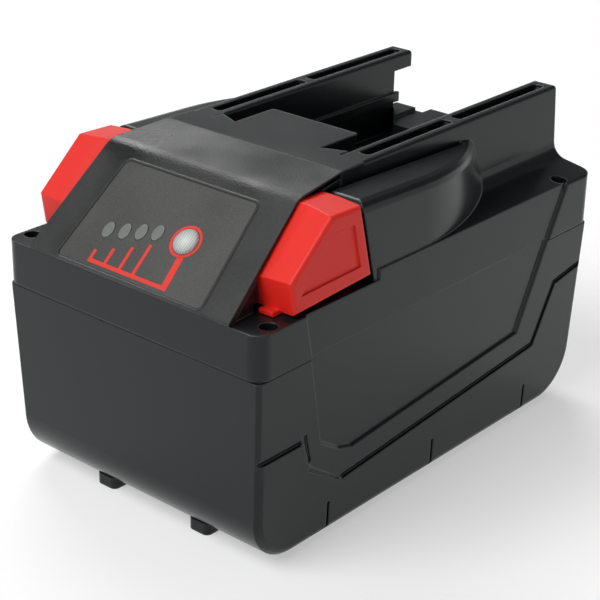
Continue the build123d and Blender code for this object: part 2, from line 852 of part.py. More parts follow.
# Bezel over the slope and the ramp
def make_bezel():
    outer = hood_line(0)
    inner = hood_line(bezel_thickness)
    foot = front_deck_rise + bezel_foot_gap
    foot_back = (foot - inner[0][1]) / slope_tan
    side = outline([(0, foot), outer[0], outer[1], outer[2], inner[2], inner[1], (foot_back, foot)],
                   [0, bezel_foot_round, crest_round, 0, 0, crest_round - bezel_thickness, 0])
    plan = hood_plan(0, crease_back + overrun)
    form = across(side, -half_width, half_width) & upward(plan, 0, hood_rise)
    form -= both_sides(bezel_edge_cutter())
    bead = label_outline(label_bead_gap + label_bead_width) - label_outline(label_bead_gap)
    inside = block((-half_width, 0, 0), (half_width, crease_back, hood_rise))
    form += on_slope(bead, -label_thickness, label_bead_height) & inside
    form -= on_slope(label_outline(seat_gap), -label_thickness, overrun)
    form -= on_slope(gauge_holes(gauge_hole_gap), -bezel_thickness - overrun, overrun)
    for place in gauge_post_places():
        form += on_slope(place * Circle(gauge_post_radius), -gauge_board_depth, -bezel_thickness / 2)
        form -= on_slope(place * Circle(small_screw_pilot / 2), -gauge_board_depth, -gauge_board_depth / 2)
    return form


def bezel_edge_cutter():
    """Thins the bezel's underside along its right edge, where the button passes under it."""
    crest_y = hood_line(0)[1][0]
    edge = [(hood_half_front, 0), (hood_half_crest, crest_y), (hood_half_crease, crease_back)]
    thin = hood_under(bezel_edge)
    wide = upward(outline([(edge[0][0] - bezel_edge_width, edge[0][1]), (half_width, edge[0][1]),
                           (half_width, edge[2][1]), (edge[2][0] - bezel_edge_width, edge[2][1]),
                           (edge[1][0] - bezel_edge_width, edge[1][1])]), button_base_rise, hood_rise)
    return thin & wide


def hood_under(drop):
    """Everything under the hood's surface beside the button, sunk squarely by a drop."""
    points = hood_line(drop)
    front = button_front - button_lip_reach
    side = outline([(front, button_base_rise), (front, points[0][1] + front * slope_tan),
                    points[1], points[2], (points[2][0], button_base_rise)],
                   [0, 0, crest_round - drop, 0, 0])
    return across(side, 0, half_width)


def make_label():
    return on_slope(label_outline(0) - gauge_holes(gauge_hole_gap), -label_thickness + seat_gap / 2, 0)


def make_lenses():
    """Four light pipes that end just above the lamps on the board."""
    pipes = None
    for x, y in shared(lens_shares, 0, label_half_foot, label_foot, label_length):
        pipe = on_slope(Pos(x, y) * lens_outline(0),
                        -gauge_board_depth + led_height + lens_led_gap, lens_proud)
        pipes = pipe if pipes is None else pipes + pipe
    return pipes


def make_gauge_button():
    place = Pos(gauge_button_side, gauge_button_back)
    stem = on_slope(place * Circle(gauge_button_radius), -bezel_thickness - seat_gap, 0)
    skirt = on_slope(place * Circle(gauge_button_radius + gauge_button_skirt),
                     -bezel_thickness - seat_gap - gauge_button_skirt_height, -bezel_thickness - seat_gap)
    head = slope.offset(0) * place * Cylinder(gauge_button_radius, gauge_button_proud,
                                              align=(Align.CENTER, Align.CENTER, Align.MIN))
    head = chamfer(head.edges().sort_by(Axis(slope.origin, slope.z_dir))[-1], gauge_button_edge)
    return stem + head + skirt


def switch_levels():
    """Top of the board, top of the switch, and top of its plunger, along the slope's normal."""
    board = -gauge_board_depth
    return board, board + switch_height, -bezel_thickness - 2 * seat_gap - gauge_button_skirt_height


def make_switch():
    board, top, _ = switch_levels()
    place = Pos(gauge_button_side, gauge_button_back)
    body = on_slope(place * RectangleRounded(switch_width, switch_width, label_round), board, top)
    depth = plunger_depth + gauge_button_travel + seat_gap
    return body - on_slope(place * Circle(plunger_radius + seat_gap), top - depth, top + overrun)


def make_plunger():
    _, top, high = switch_levels()
    place = Pos(gauge_button_side, gauge_button_back)
    return on_slope(place * Circle(plunger_radius), top - plunger_depth, high)


def make_gauge_board():
    low = gauge_board_foot
    high = low + gauge_board_length
    face = outline([(-gauge_board_half, low), (gauge_board_half, low),
                    (gauge_board_half, high), (-gauge_board_half, high)])
    board = on_slope(face, -gauge_board_depth - gauge_board_thickness, -gauge_board_depth - seat_gap / 2)
    for place in gauge_post_places():
        board -= on_slope(place * Circle(small_screw_pilot / 2), -gauge_board_depth - overrun, 0)
    return board


def gauge_post_places():
    back = gauge_board_foot + gauge_board_length - gauge_post_radius * 2
    return [Pos(side * gauge_post_spread / 2, back) for side in (-1, 1)]


def make_gauge_leds():
    lamps = None
    for x, y in shared(lens_shares, 0, label_half_foot, label_foot, label_length):
        lamp = on_slope(Pos(x, y) * Rectangle(led_width, lens_width), -gauge_board_depth,
                        -gauge_board_depth + led_height)
        lamps = lamp if lamps is None else lamps + lamp
    return lamps


def make_gauge_screws():
    screws = None
    back = -gauge_board_depth - gauge_board_thickness
    for place in gauge_post_places():
        head = on_slope(place * Circle(small_screw_head / 2), back - small_screw_head_height, back)
        screw = head + on_slope(place * shank(small_screw_shank / 2), back,
                                -gauge_board_depth + small_screw_length / 2)
        screws = screw if screws is None else screws + screw
    return screws


# Release buttons and their latch arms
def make_release_button():
    """The right button: a shell that bevels down where it passes under the bezel."""
    form = across(button_outline(button_under_shares), button_end_half, button_under_half)
    sections = [(Plane.YZ.offset(x) * button_outline(shares)).face()
                for shares, x in ((button_under_shares, button_under_half),
                                  (button_full_shares, button_full_half),
                                  (button_bevel_shares, button_bevel_half))]
    for index in range(round_steps + 1):
        turn = math.pi / 2 * index / round_steps
        depth = button_round * (1 - math.sin(turn))
        face = button_outline(button_bevel_shares, depth / (button_half - button_bevel_half),
                              button_round * (1 - math.cos(turn)))
        sections.append((Plane.YZ.offset(button_half - depth) * face).face())
    for low, high in zip(sections, sections[1:]):
        form += loft([low, high], ruled=True)
    hollow = grown(button_outline(button_under_shares), -button_wall)
    form -= across(hollow, button_end_half - overrun, button_half - button_face_wall)
    form -= across(outline(button_points(button_inset_shares)),
                   button_half - button_inset_depth, half_width)
    lip_low = button_base_rise - button_lip_height
    form += block((button_bevel_half - button_wall, button_front - button_lip_reach, lip_low),
                  (button_lip_half, button_front + 2 * button_wall, button_base_rise + button_lip_top))
    return form


def make_latch_arm(level):
    """The arm behind the right button, which crosses over and hooks through the left rail."""
    low = arm_low_rise + level * arm_level_step
    inner = spring_seat_half
    plate = across(grown(button_outline(button_under_shares), -arm_upright_inset), inner, upright_half)
    foot_rise = button_base_rise + 2 * arm_upright_inset + button_wall
    foot = block((inner, arm_foot_front, low), (upright_half, arm_foot_rear, foot_rise))
    peg = across(Pos(spring_back, spring_centre_rise) * Rectangle(arm_peg, arm_peg),
                 upright_half, upright_half + arm_peg_length)
    spring_peg = across(Pos(spring_back, spring_centre_rise) * Circle(spring_peg_radius),
                        inner - spring_peg_length, inner)
    return plate + foot + peg + spring_peg + make_latch_bar(low) + make_latch_hook(low)


def make_latch_bar(low):
    """The arm's level part: across to the far side, then back along it with one step."""
    near = (arm_foot_front + arm_foot_rear - arm_cross_width) / 2
    inner = -arm_cross_end + arm_bar_width
    step_rear = arm_shift_back + arm_bar_width
    face = outline([(upright_half, near), (upright_half, near + arm_cross_width),
                    (inner, near + arm_cross_width), (inner, step_rear),
                    (-hook_outer + arm_bar_width, step_rear),
                    (-hook_outer + arm_bar_width, hook_back + hook_length),
                    (-hook_outer, hook_back + hook_length), (-hook_outer, arm_shift_back),
                    (-arm_cross_end, arm_shift_back), (-arm_cross_end, near)])
    return upward(face, low, low + arm_thickness)


def make_latch_hook(low):
    """The upright hook at the arm's end, with a lead-in under its tooth."""
    tip = -hook_outer + hook_thickness + hook_tooth
    under = hook_rise - hook_tooth_height
    face = outline([(-hook_outer, low), (-hook_outer + hook_thickness, low),
                    (-hook_outer + hook_thickness, under), (tip, under + hook_tooth),
                    (tip, hook_rise), (-hook_outer, hook_rise)], [0, 0, 0, 0, hook_tooth / 2, 0])
    return along(face, hook_back, hook_back + hook_length)


def make_latch_spring():
    """The right return spring, in short straight runs of wire, between the web and the arm."""
    low = frame_web_half + seat_gap + spring_wire / 2
    high = spring_seat_half - seat_gap - spring_wire / 2
    runs = spring_turns * spring_runs
    points = []
    for index in range(runs + 1):
        angle = 2 * math.pi * index / spring_runs
        points.append((low + (high - low) * index / runs,
                       spring_back + spring_radius * math.cos(angle),
                       spring_centre_rise + spring_radius * math.sin(angle)))
    path = Polyline(*points)
    section = Plane(origin=path @ 0, z_dir=path % 0) * RegularPolygon(spring_wire / 2, spring_sides)
    return sweep(section, path=path, transition=Transition.RIGHT)


def make_latch_frame():
    """A web between the two springs, hung from the hood by a flange."""
    low = spring_back - frame_web_length / 2
    high = spring_back + frame_web_length / 2
    web = block((-frame_web_half, low, frame_web_low), (frame_web_half, high, frame_flange_low))
    flange = RectangleRounded(2 * frame_flange_half, frame_web_length, frame_boss_radius)
    frame = web + upward(Pos(0, spring_back) * flange, frame_flange_low,
                         frame_flange_low + frame_flange_thickness)
    frame += across(Pos(spring_back, spring_centre_rise) * Circle(spring_peg_radius),
                    -frame_web_half - spring_peg_length, frame_web_half + spring_peg_length)
    hole = small_screw_shank / 2 + seat_gap
    return frame - both_sides(post(hole, frame_screw_spread / 2, spring_back, frame_web_low, hood_rise))


def make_frame_screws():
    x = frame_screw_spread / 2
    low = frame_flange_low
    screw = post(small_screw_head / 2, x, spring_back, low - small_screw_head_height, low)
    screw += upward(Pos(x, spring_back) * shank(small_screw_shank / 2), low, low + small_screw_length)
    return both_sides(screw)


# Cells and what holds them
def cell_place(index):
    """Row from the bottom and place from the front of a cell."""
    row, column = divmod(index, cells_per_row)
    return cell_first + column * cell_pitch, low_cell_rise + row * cell_pitch, column


def make_cell(index):
    """A can with a raised nub, turned round from one group to the next."""
    y, z, column = cell_place(index)
    can_length = cell_length - cell_nub_height
    can = Cylinder(cell_radius, can_length, align=(Align.CENTER, Align.CENTER, Align.MIN))
    nub = upward(RegularPolygon(cell_nub_radius, cell_nub_sides), can_length, cell_length)
    sign = 1 if column % 2 == 0 else -1
    start = Plane(origin=(-sign * cell_length / 2, y, z), z_dir=(sign, 0, 0))
    return start * (can + nub)


def strip_groups(side):
    """First and last column of each welded strip on one side, so that the cells form a chain."""
    first = 0 if side > 0 else -1
    groups = []
    for column in range(first, cells_per_row, 2):
        groups.append((max(column, 0), min(column + 1, cells_per_row - 1)))
    return groups


def strip_face(first, last, growth):
    """A strip seen along x: a plate over its cells with a tab up to the board."""
    low_y = cell_first + first * cell_pitch - cell_radius + strip_margin
    high_y = cell_first + last * cell_pitch + cell_radius - strip_margin
    low_z = low_cell_rise - cell_radius + strip_margin
    high_z = low_cell_rise + (cell_rows - 1) * cell_pitch + cell_radius - strip_margin
    centre_y = (low_y + high_y) / 2
    plate = Rectangle(high_y - low_y + 2 * growth, high_z - low_z + 2 * growth)
    plate = Pos(centre_y, (low_z + high_z) / 2) * chamfer(plate.vertices(), strip_corner_share * cell_radius)
    tab_top = board_top + growth
    tab = Pos(centre_y, (high_z - strip_margin + tab_top) / 2) * Rectangle(
        strip_tab_width + 2 * growth, tab_top - high_z + strip_margin)
    return plate + tab


def make_strips(side):
    strips = None
    base = cell_length / 2 + seat_gap / 2
    for first, last in strip_groups(side):
        low_x, high_x = sorted((side * base, side * (base + strip_thickness)))
        strip = across(strip_face(first, last, 0), low_x, high_x)
        strips = strip if strips is None else strips + strip
    return strips


def holder_limits():
    """Front, rear, bottom and top of a holder plate."""
    low_y = cell_first - cell_radius
    low_z = low_cell_rise - cell_radius
    return low_y, low_y + row_length, low_z, -holder_rise_below_seam - seat_gap / 2


def make_holder(side):
    """A plate over the cell ends with openings for the strips, pillars between the cells and
    a flange that carries the board."""
    low_y, high_y, low_z, high_z = holder_limits()
    base = cell_length / 2 + seat_gap / 2
    holder = block((base, low_y, low_z), (holder_outer, high_y, high_z))
    flange_low = high_z - holder_flange_thickness
    holder += block((base - holder_flange, low_y + cell_radius, max(flange_low, cell_top + seat_gap)),
                    (holder_outer, high_y - cell_radius, high_z))
    reach = math.hypot(cell_pitch, cell_pitch) / 2 - cell_radius - seat_gap
    for first, last in strip_groups(side):
        face = strip_face(first, last, window_margin)
        holder -= across(face, base - seat_gap, holder_outer + overrun)
        if last < cells_per_row - 1:
            y = cell_first + (last + 1 / 2) * cell_pitch
            z = low_cell_rise + cell_pitch / 2
            pillar = Pos(y, z) * Circle(reach)
            holder += across(pillar, base - pillar_length, base)
    holder = holder & across(holder_side(), 0, half_width)
    return holder if side > 0 else mirror(holder, about=Plane.YZ)


def holder_side():
    """The holder plate seen along x, with lower corners rounded as the cells are."""
    low_y, high_y, low_z, high_z = holder_limits()
    return outline([(low_y, low_z), (high_y, low_z), (high_y, high_z), (low_y, high_z)],
                   [cell_radius, cell_radius, 0, 0])


def make_side_insulator(side):
    low = holder_outer + seat_gap / 2
    sheet = across(holder_side(), low, low + insulator_thickness)
    return sheet if side > 0 else mirror(sheet, about=Plane.YZ)


def make_top_insulator():
    low_y, high_y, _, _ = holder_limits()
    half = cell_length / 2 - holder_flange - seat_gap
    return block((-half, low_y + cell_radius, cell_top + seat_gap / 2),
                 (half, high_y - cell_radius, cell_top + seat_gap / 2 + insulator_thickness))


# Boards, contacts and wiring
def board_outline():
    half = cell_length / 2
    return outline([(-half, board_front), (half, board_front), (half, board_rear), (-half, board_rear)],
                   rib_width)


def make_main_board():
    return upward(board_outline(), board_top - board_thickness, board_top)


def board_parts(places, size):
    """Flat parts that stand on the main board."""
    parts = None
    width, length, height = size
    for x, y in places:
        part = block((x - width / 2, y - length / 2, board_top + seat_gap / 2),
                     (x + width / 2, y + length / 2, board_top + seat_gap / 2 + height))
        parts = part if parts is None else parts + part
    return parts


def make_transistors():
    board_length = board_rear - board_front
    y = board_front + board_length * 2 / 3
    return board_parts([(side * cell_length / 6, y) for side in (-1, 1)],
                       (cell_diameter / 2, cell_diameter / 2 + strip_tab_width, transistor_height))


def make_controller():
    chip_length = cell_diameter / 2
    return board_parts([(0, block_rear + chip_gap + chip_length / 2)],
                       (chip_length, chip_length, chip_height))


def make_thermistor():
    x = cell_length / 6
    y = cell_first + (cells_per_row - 1) / 2 * cell_pitch + cell_pitch / 2
    low = cell_top + insulator_thickness + seat_gap
    return post(thermistor_radius, x, y, low, board_top - board_thickness - seat_gap / 2)


def contact_places():
    return [(index - (block_slot_count - 1) / 2) * block_slot_pitch for index in range(block_slot_count)]


def make_terminal_block():
    """A block under the tongue with a row of upright slots that open to the rear."""
    top = hood_rise - tongue_thickness - seat_gap
    form = block((-block_half, block_front, channel_rise + seat_gap), (block_half, block_rear, top))
    form += block((-block_stem_half, block_front, board_top + seat_gap / 2),
                  (block_stem_half, block_rear - block_back_wall, channel_rise + 2 * seat_gap))
    low = block_front + block_back_wall
    for x in contact_places():
        form -= block((x - block_slot_width / 2, low, block_slot_floor),
                      (x + block_slot_width / 2, block_rear + overrun, top - block_back_wall))
        half = contact_thickness / 2 + seat_gap
        form -= block((x - half, low, board_top),
                      (x + half, low + 2 * contact_thickness + seat_gap, block_slot_floor + seat_gap))
    return form


def make_contact(x):
    """A fork of two leaves in one slot, on a leg that runs down to the board."""
    top = hood_rise - tongue_thickness - block_back_wall - contact_top_gap
    low = block_front + block_back_wall + seat_gap / 2
    half = block_slot_width / 2 - seat_gap / 2
    rear = block_rear - block_back_wall / 2
    back = block((x - half, low, block_slot_floor + seat_gap), (x + half, low + contact_thickness, top))
    leaf = block((x + half - contact_thickness, low, block_slot_floor + seat_gap), (x + half, rear, top))
    other = block((x - half, low, block_slot_floor + seat_gap), (x - half + contact_thickness, rear, top))
    leg = block((x - contact_thickness / 2, low, board_top + seat_gap / 2),
                (x + contact_thickness / 2, low + contact_thickness, top))
    return back + leaf + other + leg


def make_contacts(indices):
    contacts = None
    places = contact_places()
    for index in indices:
        contact = make_contact(places[index])
        contacts = contact if contacts is None else contacts + contact
    return contacts


def make_gauge_cable():
    """A flat cable from the gauge board, over the latch arms, down to the main board."""
    arms_top = arm_low_rise + arm_level_step + arm_thickness
    start_up = gauge_board_foot + gauge_board_length - 2 * gauge_post_radius
    back = gauge_board_depth + gauge_board_thickness + seat_gap
    start_y = start_up * slope_cos + back * slope_sin
    start_z = hood_front_rise + start_up * slope_sin - back * slope_cos
    level = arms_top + 2 * slide_gap
    turn = arm_foot_rear + cable_width
    route = [(start_y, start_z), (start_y + (start_z - level) * slope_sin / slope_cos, level),
             (turn, level), (turn, board_top + cable_thickness / 2 + seat_gap / 2),
             (turn + cable_width, board_top + cable_thickness / 2 + seat_gap / 2)]
    line = FilletPolyline(*route, radius=cable_thickness * 4)
    face = trace(line, cable_thickness)
    return across(face, -cable_half_start - cable_width, -cable_half_start)


def make_housing_screws():
    screws = None
    for x, y in screw_places:
        screw = post(screw_head / 2, x, y,
                     screw_seat_rise + seat_gap / 2, screw_seat_rise + screw_head_height)
        screw += upward(Pos(x, y) * shank((screw_shank - 2 * screw_shank_clearance) / 2),
                        screw_seat_rise - screw_length + seat_gap,
                        screw_seat_rise + screw_head_height / 2)
        screws = screw if screws is None else screws + screw
    return screws


# Every piece, under the name of its node
pieces = {
    "lower_housing": make_lower_housing,
    "upper_housing": make_upper_housing,
    "front_bezel": make_bezel,
    "gauge_label": make_label,
    "gauge_lenses": make_lenses,
    "gauge_button": make_gauge_button,
    "gauge_switch": make_switch,
    "switch_plunger": make_plunger,
    "gauge_board": make_gauge_board,
    "gauge_leds": make_gauge_leds,
    "gauge_board_screws": make_gauge_screws,
    "latch_frame": make_latch_frame,
    "latch_frame_screws": make_frame_screws,
    "main_board": make_main_board,
    "power_transistors": make_transistors,
    "controller_chip": make_controller,
    "thermistor": make_thermistor,
    "terminal_block": make_terminal_block,
    "gauge_cable": make_gauge_cable,
    "insulator_top": make_top_insulator,
    "housing_screws": make_housing_screws,
}
for name, make in pieces.items():
    save(name, make())

for side_name, side in (("right", 1), ("left", -1)):
    save(f"cell_strips_{side_name}", make_strips(side))
    save(f"cell_holder_{side_name}", make_holder(side))
    save(f"insulator_{side_name}", make_side_insulator(side))

save("power_contacts", make_contacts((0, block_slot_count - 1)))
save("signal_contacts", make_contacts(range(1, block_slot_count - 1)))

for index in range(cells_per_row * cell_rows):
    save(f"cell_{index + 1:02d}", make_cell(index))

right_button = make_release_button()
right_spring = make_latch_spring()
save("release_button_right", right_button)
save("latch_arm_right", make_latch_arm(0))
save("latch_spring_right", right_spring)
save("release_button_left", mirror(right_button, about=Plane.YZ))
save("latch_arm_left", mirror(make_latch_arm(1), about=Plane.YZ))
save("latch_spring_left", mirror(right_spring, about=Plane.YZ))

print(f"length {pack_length:.2f}, width {pack_width:.2f}, "
      f"height {lower_height + foot_height + hood_rise:.2f}")
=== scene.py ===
import json
import math

import bmesh
import bpy
from mathutils import Matrix, Vector


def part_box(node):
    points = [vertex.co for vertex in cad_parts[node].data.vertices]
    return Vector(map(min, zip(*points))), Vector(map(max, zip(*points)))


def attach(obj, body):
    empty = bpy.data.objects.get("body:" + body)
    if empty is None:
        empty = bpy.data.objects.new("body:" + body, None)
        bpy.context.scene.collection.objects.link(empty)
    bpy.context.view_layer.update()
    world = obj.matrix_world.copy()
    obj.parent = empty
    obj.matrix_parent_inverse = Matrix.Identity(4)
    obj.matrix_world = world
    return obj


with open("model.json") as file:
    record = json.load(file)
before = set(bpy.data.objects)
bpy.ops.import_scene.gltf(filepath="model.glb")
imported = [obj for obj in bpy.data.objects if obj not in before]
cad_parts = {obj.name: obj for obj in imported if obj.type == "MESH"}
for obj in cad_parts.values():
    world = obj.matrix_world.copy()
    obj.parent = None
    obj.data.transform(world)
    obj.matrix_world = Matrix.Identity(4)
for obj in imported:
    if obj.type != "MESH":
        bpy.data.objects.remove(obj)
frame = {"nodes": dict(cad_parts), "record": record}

MM = 0.001
WHITE = (1.0, 1.0, 1.0, 1.0)

# Camera, at the photograph's angle
CAMERA_AZIMUTH = 40.158
CAMERA_ELEVATION = 24.513
CAMERA_ROLL = 1.233
CAMERA_DISTANCE = 418.523 * MM
CAMERA_TARGET = Vector((16.941, -24.626, 50.054)) * MM
CAMERA_LENS = 103.214
SENSOR_WIDTH = 36.0
CLIP_START = 0.01

# Studio, in metres and watts
FLOOR_HALF = 6.0
FLOOR_COLOUR = (0.62, 0.62, 0.62)
FLOOR_ROUGHNESS = 0.9
FLOOR_LIFT = 0.42
BACKDROP_STRENGTH = 1.0
CEILING_STRENGTH = 0.14
BACKDROP_RISE = (0.1, 0.25)
LAMP_AIM = Vector((0, 0, 0.04))
LAMPS = {
    "key": {"place": (-0.35, -1.1, 1.3), "size": 1.1, "power": 22.0},
    "top": {"place": (-0.9, 0.6, 1.2), "size": 0.9, "power": 12.0},
    "side": {"place": (1.4, -0.4, 0.5), "size": 0.8, "power": 2.0},
}

# Materials: the span that a noise mostly fills, and the cosines of the angle between the true
# and the rounded normal at which an edge starts to turn paler and is fully paler, partly with
# wear and partly as a painted highlight
NOISE_SPAN = (0.3, 0.7)
EDGE_SPAN = (1.0, 0.75)

# Plastic, with texture scales per metre
GRAIN_DETAIL = 3.0
GRAIN_STRENGTH = 0.6
CLOUD_SCALE = 38.0
CLOUD_DETAIL = 2.0
BEVEL_SAMPLES = 6
# Edges are paler partly with wear and partly as a painted highlight; this lift is added to
# their colour
WEAR_AND_HIGHLIGHT_LIFT = 0.02

# Metal, with the streaks' scale per metre and their depth in millimetres
BRUSH_STRETCH = 0.9
STREAK_SCALE = 1500.0
STREAK_DETAIL = 2.0
STREAK_SPREAD = (0.75, 1.3)
STREAK_STRENGTH = 0.3
STREAK_DEPTH = 0.01

# Gauge print, in millimetres on the label: x across and s up from its foot
SLOPE_ANGLE = math.radians(40.25)
LABEL_LENGTH = 28.39
PRINT_HEIGHT = 0.03
BASE_LINE = {"x": (-13.85, 11.7), "s": (1.0, 2.0)}
TICKS = [(-13.4, 4.4), (-8.6, 6.2), (-3.8, 8.15), (0.65, 10.2)]
TICK_WIDTH = 0.9
TICK_LEAN = -0.02
STEM = [(9.9, 2.0), (11.7, 2.0), (11.05, 9.9), (9.25, 9.9)]
RING_CENTRE = (8.9, 13.9)
RING_RADII = (3.55, 4.3)
RING_STEPS = 64

# Gauge button, in the ring: radius and depth in millimetres, scale in the button's radius
DOME_RADIUS = 3.4
RIB_SCALE = 1.6
RIB_DISTORTION = 1.5
RIB_SHARE = 0.35
RIB_STRENGTH = 0.5
RIB_DEPTH = 0.03


# Shader nodes
def new_material(name, colour, roughness):
    """A principled material, with its node tree and its shader."""
    material = bpy.data.materials.new(name)
    material.use_nodes = True
    tree = material.node_tree
    shader = tree.nodes["Principled BSDF"]
    set_inputs(shader, {"Base Color": (*colour, 1.0), "Roughness": roughness})
    return material, tree, shader


def set_inputs(node, values):
    """Set some of a node's inputs by their names."""
    for name, value in values.items():
        node.inputs[name].default_value = value


def object_coordinates(tree):
    """The coordinates of the piece itself, which move with it."""
    return tree.nodes.new("ShaderNodeTexCoord").outputs["Object"]


def noise(tree, vector, scale, detail):
    """The value of a noise texture at the given coordinates."""
    texture = tree.nodes.new("ShaderNodeTexNoise")
    set_inputs(texture, {"Scale": scale, "Detail": detail})
    tree.links.new(vector, texture.inputs["Vector"])
    return texture.outputs["Fac"]


def mapped(tree, value, given, wanted):
    """Map a value from a given span to a wanted one."""
    node = tree.nodes.new("ShaderNodeMapRange")
    set_inputs(node, {"From Min": given[0], "From Max": given[1],
                      "To Min": wanted[0], "To Max": wanted[1]})
    tree.links.new(value, node.inputs["Value"])
    return node.outputs["Result"]


def arithmetic(tree, operation, *terms):
    """A math node; each term is a number or another node's output."""
    node = tree.nodes.new("ShaderNodeMath")
    node.operation = operation
    for socket, term in zip(node.inputs, terms):
        if isinstance(term, float):
            socket.default_value = term
        else:
            tree.links.new(term, socket)
    return node.outputs["Value"]


def colour_mix(tree, factor, first, second):
    """Mix two colours; each is a tuple or another node's output."""
    node = tree.nodes.new("ShaderNodeMix")
    node.data_type = "RGBA"
    tree.links.new(factor, node.inputs["Factor"])
    for name, colour in (("A", first), ("B", second)):
        if isinstance(colour, tuple):
            node.inputs[name].default_value = (*colour, 1.0)
        else:
            tree.links.new(colour, node.inputs[name])
    return node.outputs["Result"]


def relief(tree, shader, height, strength, depth, normal=None):
    """Give the shader a relief of a depth in millimetres, over a normal if there is one."""
    node = tree.nodes.new("ShaderNodeBump")
    set_inputs(node, {"Strength": strength, "Distance": depth * MM})
    tree.links.new(height, node.inputs["Height"])
    if normal is not None:
        tree.links.new(normal, node.inputs["Normal"])
    tree.links.new(node.outputs["Normal"], shader.inputs["Normal"])


def edge_mask(tree, rounded):
    """Where the rounded normal leaves the true one, which is along edges."""
    geometry = tree.nodes.new("ShaderNodeNewGeometry")
    dot = tree.nodes.new("ShaderNodeVectorMath")
    dot.operation = "DOT_PRODUCT"
    tree.links.new(rounded, dot.inputs[0])
    tree.links.new(geometry.outputs["True Normal"], dot.inputs[1])
    return mapped(tree, dot.outputs["Value"], EDGE_SPAN, (0.0, 1.0))


def scaled(colour, factor, lift=0.0):
    """A colour made paler or darker, up to white."""
    return tuple(min(1.0, channel * factor + lift) for channel in colour)


# Materials
def plastic(name, colour, roughness, grain_size, grain_depth, edge_radius, wear_and_highlight=0.25,
            spread=0.12, shine=0.5):
    """Moulded plastic: fine grain, cloudy roughness, soft edges that are slightly paler.

    Grain and edge are in millimetres. Spread is the share by which the grain changes the
    colour and the cloud changes the roughness, and the wear share is the share by which edges
    are paler, partly with wear and partly as a painted highlight.
    """
    material, tree, shader = new_material(name, colour, roughness)
    shader.inputs["Specular IOR Level"].default_value = shine
    place = object_coordinates(tree)
    grain = noise(tree, place, 1 / (grain_size * MM), GRAIN_DETAIL)
    cloud = noise(tree, place, CLOUD_SCALE, CLOUD_DETAIL)
    cloudy = mapped(tree, cloud, NOISE_SPAN,
                    (roughness * (1 - spread), roughness * (1 + spread)))
    tree.links.new(cloudy, shader.inputs["Roughness"])
    bevel = tree.nodes.new("ShaderNodeBevel")
    bevel.samples = BEVEL_SAMPLES
    bevel.inputs["Radius"].default_value = edge_radius * MM
    rounded = bevel.outputs["Normal"]
    relief(tree, shader, grain, GRAIN_STRENGTH, grain_depth, rounded)
    speck = colour_mix(tree, mapped(tree, grain, NOISE_SPAN, (0.0, 1.0)),
                       scaled(colour, 1 - spread), scaled(colour, 1 + spread))
    # Paler edges: partly wear, partly a painted highlight along the edges
    worn_and_highlit = colour_mix(tree, edge_mask(tree, rounded), speck,
                      scaled(colour, 1 + wear_and_highlight, wear_and_highlight * WEAR_AND_HIGHLIGHT_LIFT))
    tree.links.new(worn_and_highlit, shader.inputs["Base Color"])
    return material


def metal(name, colour, roughness, brushed=0.0):
    """Plated metal with fine streaks, drawn out along x where it is brushed."""
    material, tree, shader = new_material(name, colour, roughness)
    shader.inputs["Metallic"].default_value = 1.0
    stretch = tree.nodes.new("ShaderNodeMapping")
    stretch.inputs["Scale"].default_value = (1.0 - BRUSH_STRETCH * brushed, 1.0, 1.0)
    tree.links.new(object_coordinates(tree), stretch.inputs["Vector"])
    streak = noise(tree, stretch.outputs["Vector"], STREAK_SCALE, STREAK_DETAIL)
    rough = mapped(tree, streak, NOISE_SPAN,
                   (roughness * STREAK_SPREAD[0], roughness * STREAK_SPREAD[1]))
    tree.links.new(rough, shader.inputs["Roughness"])
    relief(tree, shader, streak, STREAK_STRENGTH, STREAK_DEPTH)
    return material


def domed(name, colour, rim_shade, roughness):
    """Pale button with a painted highlight bright in the middle and painted shade greyer
    towards its edge, with upright ribs.
    """
    material, tree, shader = new_material(name, colour, roughness)
    local = tree.nodes.new("ShaderNodeMapping")
    local.vector_type = "TEXTURE"
    set_inputs(local, {"Location": on_label(*RING_CENTRE), "Rotation": (SLOPE_ANGLE, 0, 0),
                       "Scale": (DOME_RADIUS * MM,) * 3})
    tree.links.new(object_coordinates(tree), local.inputs["Vector"])
    # Painted highlight and shade: a spherical gradient, bright in the dome's middle and grey
    # at its edge
    dome_highlight = tree.nodes.new("ShaderNodeTexGradient")
    dome_highlight.gradient_type = "SPHERICAL"
    tree.links.new(local.outputs["Vector"], dome_highlight.inputs["Vector"])
    ribs = tree.nodes.new("ShaderNodeTexWave")
    ribs.bands_direction = "X"
    set_inputs(ribs, {"Scale": RIB_SCALE, "Distortion": RIB_DISTORTION})
    tree.links.new(local.outputs["Vector"], ribs.inputs["Vector"])
    level = arithmetic(tree, "MULTIPLY_ADD", ribs.outputs["Fac"], RIB_SHARE,
                       dome_highlight.outputs["Fac"])
    tree.links.new(colour_mix(tree, level, rim_shade, colour), shader.inputs["Base Color"])
    relief(tree, shader, ribs.outputs["Fac"], RIB_STRENGTH, RIB_DEPTH)
    return material


